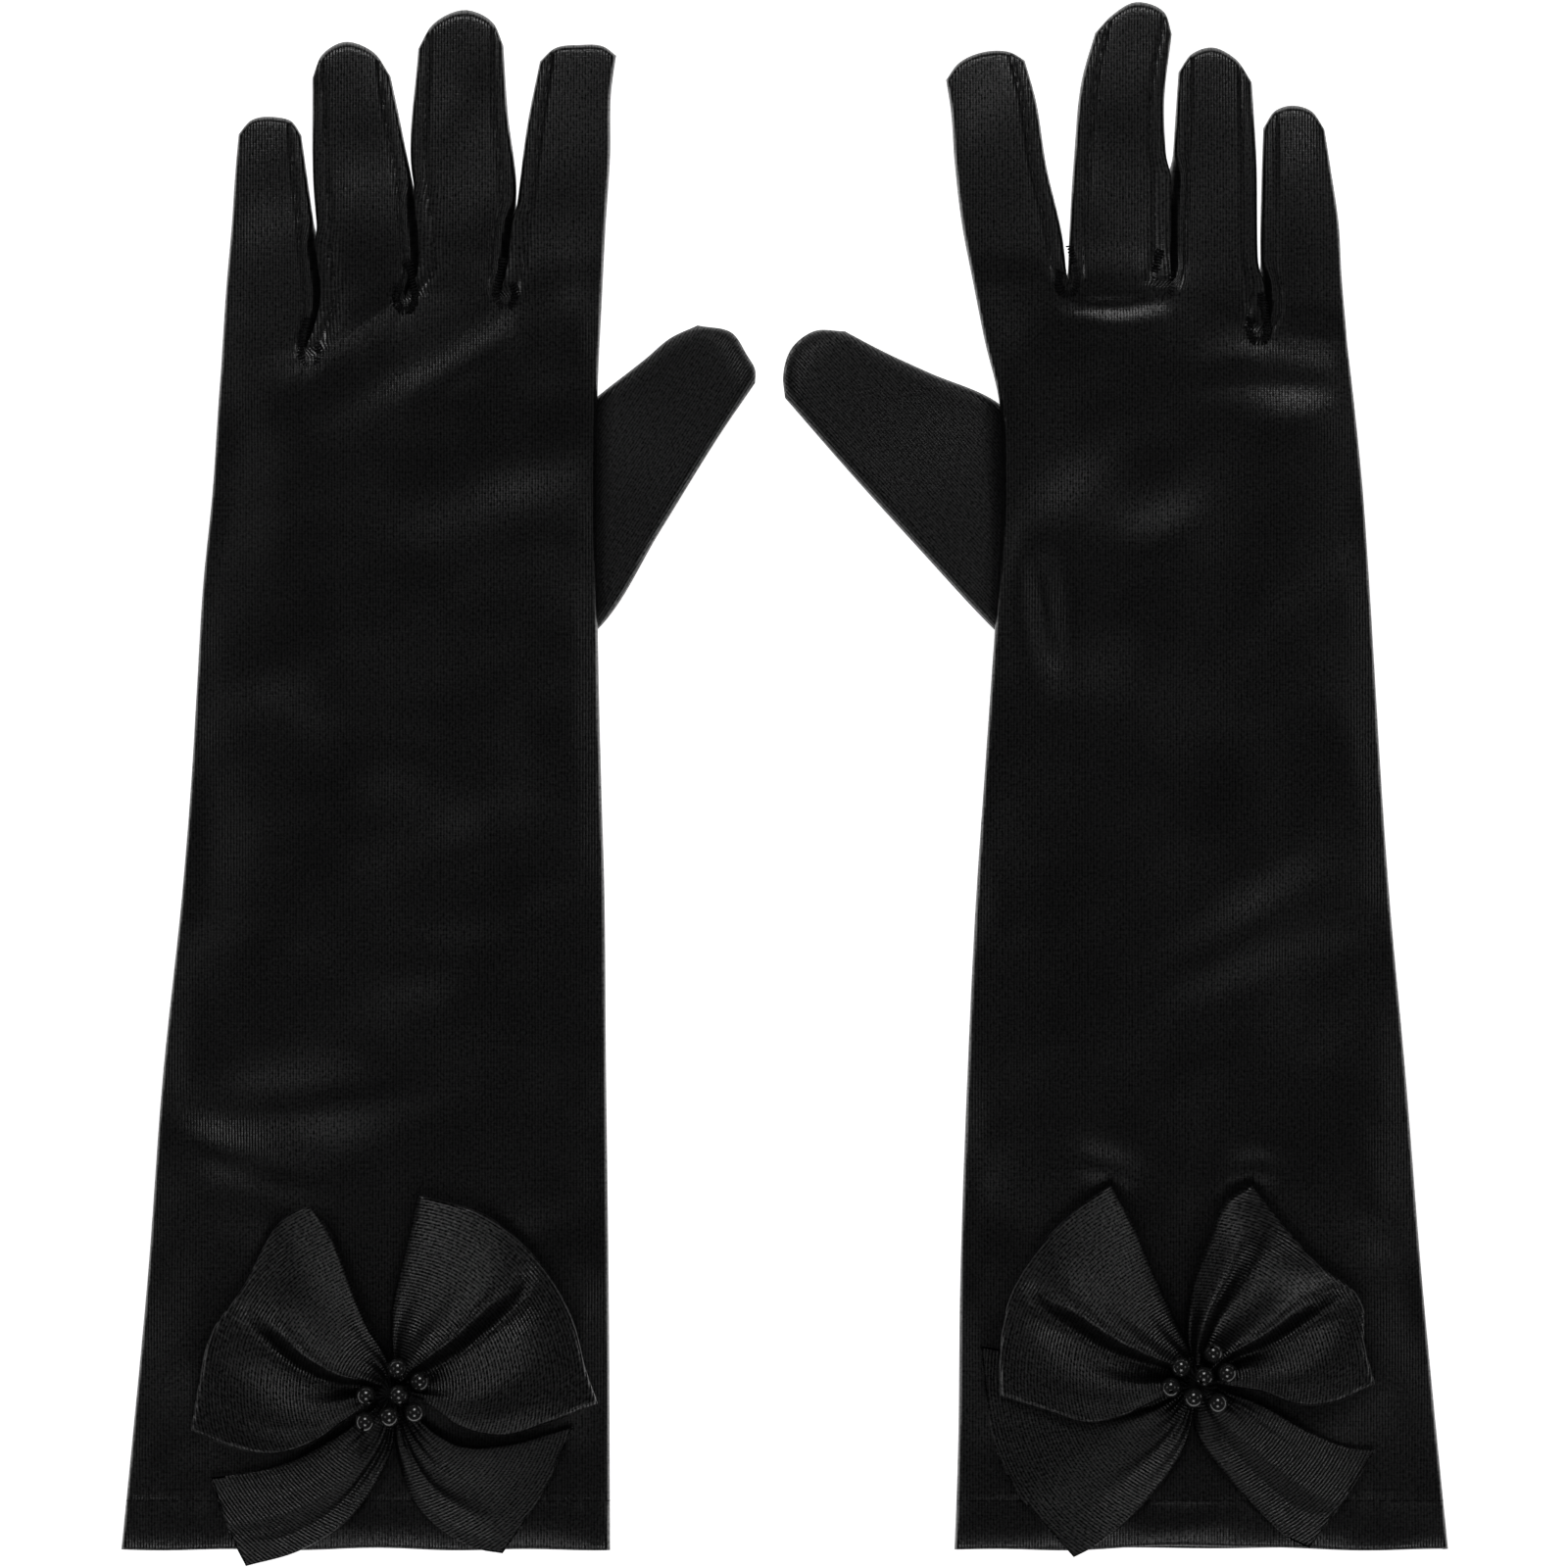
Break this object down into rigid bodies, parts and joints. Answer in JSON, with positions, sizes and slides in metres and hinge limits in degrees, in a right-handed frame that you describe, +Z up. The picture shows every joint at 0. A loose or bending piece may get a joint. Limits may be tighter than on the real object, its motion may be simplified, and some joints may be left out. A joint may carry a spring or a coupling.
{
  "type": "opera gloves",
  "caption": "Long black satin opera gloves laid flat, each with a beaded bow near the cuff; they cover the hand, wrist and forearm.",
  "frame": {"origin": "centre of the bounding box's bottom face, on the surface the gloves lie on", "axes": "+X across the pair towards the right-hand glove, +Y from the cuffs to the fingertips, +Z up through the backs of the hands"},
  "size_m": [0.2703, 0.3183, 0.0189],
  "materials": {
    "satin": "satin",
    "bow_satin": "satin",
    "thread": "matte",
    "bead": "gloss"
  },
  "bodies": {
    "left_sleeve": {"left_sleeve_back": "satin", "left_sleeve_palm": "satin", "left_bow_tails": "bow_satin", "left_bow_loops": "bow_satin", "left_bow_gather": "thread", "left_bead_1": "bead", "left_bead_2": "bead", "left_bead_3": "bead", "left_bead_4": "bead", "left_bead_5": "bead", "left_bead_6": "bead", "left_bead_7": "bead"},
    "left_hand": {"left_hand_back": "satin", "left_hand_palm": "satin"},
    "left_thumb": {"left_thumb": "satin"},
    "left_little": {"left_little_back": "satin", "left_little_palm": "satin", "left_little_fourchette_thumb_side": "satin"},
    "left_ring": {"left_ring_back": "satin", "left_ring_palm": "satin", "left_ring_fourchette_little_side": "satin", "left_ring_fourchette_thumb_side": "satin"},
    "left_middle": {"left_middle_back": "satin", "left_middle_palm": "satin", "left_middle_fourchette_little_side": "satin", "left_middle_fourchette_thumb_side": "satin"},
    "left_index": {"left_index_back": "satin", "left_index_palm": "satin", "left_index_fourchette_little_side": "satin"},
    "right_sleeve": {"right_sleeve_back": "satin", "right_sleeve_palm": "satin", "right_bow_tails": "bow_satin", "right_bow_loops": "bow_satin", "right_bow_gather": "thread", "right_bead_1": "bead", "right_bead_2": "bead", "right_bead_3": "bead", "right_bead_4": "bead", "right_bead_5": "bead", "right_bead_6": "bead", "right_bead_7": "bead"},
    "right_hand": {"right_hand_back": "satin", "right_hand_palm": "satin"},
    "right_thumb": {"right_thumb": "satin"},
    "right_little": {"right_little_back": "satin", "right_little_palm": "satin", "right_little_fourchette_thumb_side": "satin"},
    "right_ring": {"right_ring_back": "satin", "right_ring_palm": "satin", "right_ring_fourchette_little_side": "satin", "right_ring_fourchette_thumb_side": "satin"},
    "right_middle": {"right_middle_back": "satin", "right_middle_palm": "satin", "right_middle_fourchette_little_side": "satin", "right_middle_fourchette_thumb_side": "satin"},
    "right_index": {"right_index_back": "satin", "right_index_palm": "satin", "right_index_fourchette_little_side": "satin"}
  },
  "joints": [
    {"name": "left_wrist", "type": "hinge", "parent": "left_sleeve", "child": "left_hand", "pos_m": [-0.0791, 0.016, 0.008], "axis": [1, 0, 0], "range_deg": [0, 75]},
    {"name": "left_thumb_fold", "type": "hinge", "parent": "left_hand", "child": "left_thumb", "pos_m": [-0.0376, 0.0556, 0.008], "axis": [0, -1, 0], "range_deg": [0, 90]},
    {"name": "left_little_fold", "type": "hinge", "parent": "left_hand", "child": "left_little", "pos_m": [-0.1055, 0.0865, 0.008], "axis": [1, 0, 0], "range_deg": [0, 90]},
    {"name": "left_ring_fold", "type": "hinge", "parent": "left_hand", "child": "left_ring", "pos_m": [-0.0866, 0.0925, 0.008], "axis": [1, 0, 0], "range_deg": [0, 90]},
    {"name": "left_middle_fold", "type": "hinge", "parent": "left_hand", "child": "left_middle", "pos_m": [-0.0667, 0.0985, 0.008], "axis": [1, 0, 0], "range_deg": [0, 90]},
    {"name": "left_index_fold", "type": "hinge", "parent": "left_hand", "child": "left_index", "pos_m": [-0.04665, 0.0985, 0.008], "axis": [1, 0, 0], "range_deg": [0, 90]},
    {"name": "right_glove_lift", "type": "slide", "parent": "left_sleeve", "child": "right_sleeve", "axis": [0, 0, 1], "range_m": [0, 0.25]},
    {"name": "right_wrist", "type": "hinge", "parent": "right_sleeve", "child": "right_hand", "pos_m": [0.0791, 0.016, 0.008], "axis": [1, 0, 0], "range_deg": [0, 75]},
    {"name": "right_thumb_fold", "type": "hinge", "parent": "right_hand", "child": "right_thumb", "pos_m": [0.0415, 0.055, 0.008], "axis": [0, 1, 0], "range_deg": [0, 90]},
    {"name": "right_little_fold", "type": "hinge", "parent": "right_hand", "child": "right_little", "pos_m": [0.10575, 0.0915, 0.008], "axis": [1, 0, 0], "range_deg": [0, 90]},
    {"name": "right_ring_fold", "type": "hinge", "parent": "right_hand", "child": "right_ring", "pos_m": [0.0869, 0.0962, 0.008], "axis": [1, 0, 0], "range_deg": [0, 90]},
    {"name": "right_middle_fold", "type": "hinge", "parent": "right_hand", "child": "right_middle", "pos_m": [0.0675, 0.101, 0.008], "axis": [1, 0, 0], "range_deg": [0, 90]},
    {"name": "right_index_fold", "type": "hinge", "parent": "right_hand", "child": "right_index", "pos_m": [0.04815, 0.101, 0.008], "axis": [1, 0, 0], "range_deg": [0, 90]}
  ]
}
